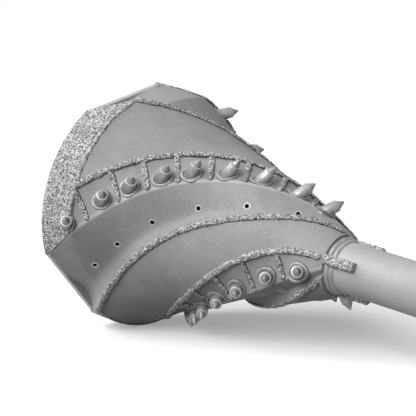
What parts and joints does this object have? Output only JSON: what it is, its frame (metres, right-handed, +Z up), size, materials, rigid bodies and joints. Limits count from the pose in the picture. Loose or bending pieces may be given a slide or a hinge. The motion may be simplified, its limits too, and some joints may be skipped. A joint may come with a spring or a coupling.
{
  "type": "button reamer",
  "caption": "Tapered fluted reamer with armoured spiral lands, rows of hard conical teeth and fluid nozzles, on a hollow drive shaft, for pulling a bored hole out to size.",
  "frame": {"origin": "middle of the floor area under the lying reamer", "axes": "+X from the big end of the cone to the far end of the shaft, which slopes down to the floor; +Z up"},
  "size_m": [0.8184, 0.3176, 0.3075],
  "materials": {
    "cone_steel": "cast steel, ground and blasted, satin with faint scratches",
    "plate_steel": "flame-cut plate, satin",
    "shaft_steel": "turned bar, satin",
    "tooth_steel": "turned shank, satin",
    "tip_carbide": "sintered carbide, smooth and dull",
    "weld_steel": "weld metal, wire-brushed",
    "nozzle_steel": "turned, dark",
    "hardfacing": "crushed carbide in weld metal, very rough"
  },
  "bodies": {
    "root": {"reamer_cone": "cone_steel", "back_plate": "plate_steel", "drive_shaft": "shaft_steel", "back_weld": "weld_steel", "nose_weld": "weld_steel", "tooth_a_1": "tooth_steel", "tooth_a_2": "tooth_steel", "tooth_a_3": "tooth_steel", "tooth_a_4": "tooth_steel", "tooth_a_5": "tooth_steel", "tooth_a_6": "tooth_steel", "tooth_a_7": "tooth_steel", "tooth_a_8": "tooth_steel", "tooth_a_9": "tooth_steel", "hard_tips_a": "tip_carbide", "weld_collars_a": "weld_steel", "nozzles_a": "nozzle_steel", "rim_armour_a": "hardfacing", "ridge_bead_a": "hardfacing", "strip_bead_a": "hardfacing", "nose_bar_a": "hardfacing", "tooth_b_1": "tooth_steel", "tooth_b_2": "tooth_steel", "tooth_b_3": "tooth_steel", "tooth_b_4": "tooth_steel", "tooth_b_5": "tooth_steel", "tooth_b_6": "tooth_steel", "tooth_b_7": "tooth_steel", "tooth_b_8": "tooth_steel", "tooth_b_9": "tooth_steel", "hard_tips_b": "tip_carbide", "weld_collars_b": "weld_steel", "nozzles_b": "nozzle_steel", "rim_armour_b": "hardfacing", "ridge_bead_b": "hardfacing", "strip_bead_b": "hardfacing", "nose_bar_b": "hardfacing", "tooth_c_1": "tooth_steel", "tooth_c_2": "tooth_steel", "tooth_c_3": "tooth_steel", "tooth_c_4": "tooth_steel", "tooth_c_5": "tooth_steel", "tooth_c_6": "tooth_steel", "tooth_c_7": "tooth_steel", "tooth_c_8": "tooth_steel", "tooth_c_9": "tooth_steel", "hard_tips_c": "tip_carbide", "weld_collars_c": "weld_steel", "nozzles_c": "nozzle_steel", "rim_armour_c": "hardfacing", "ridge_bead_c": "hardfacing", "strip_bead_c": "hardfacing", "nose_bar_c": "hardfacing"}
  },
  "joints": []
}
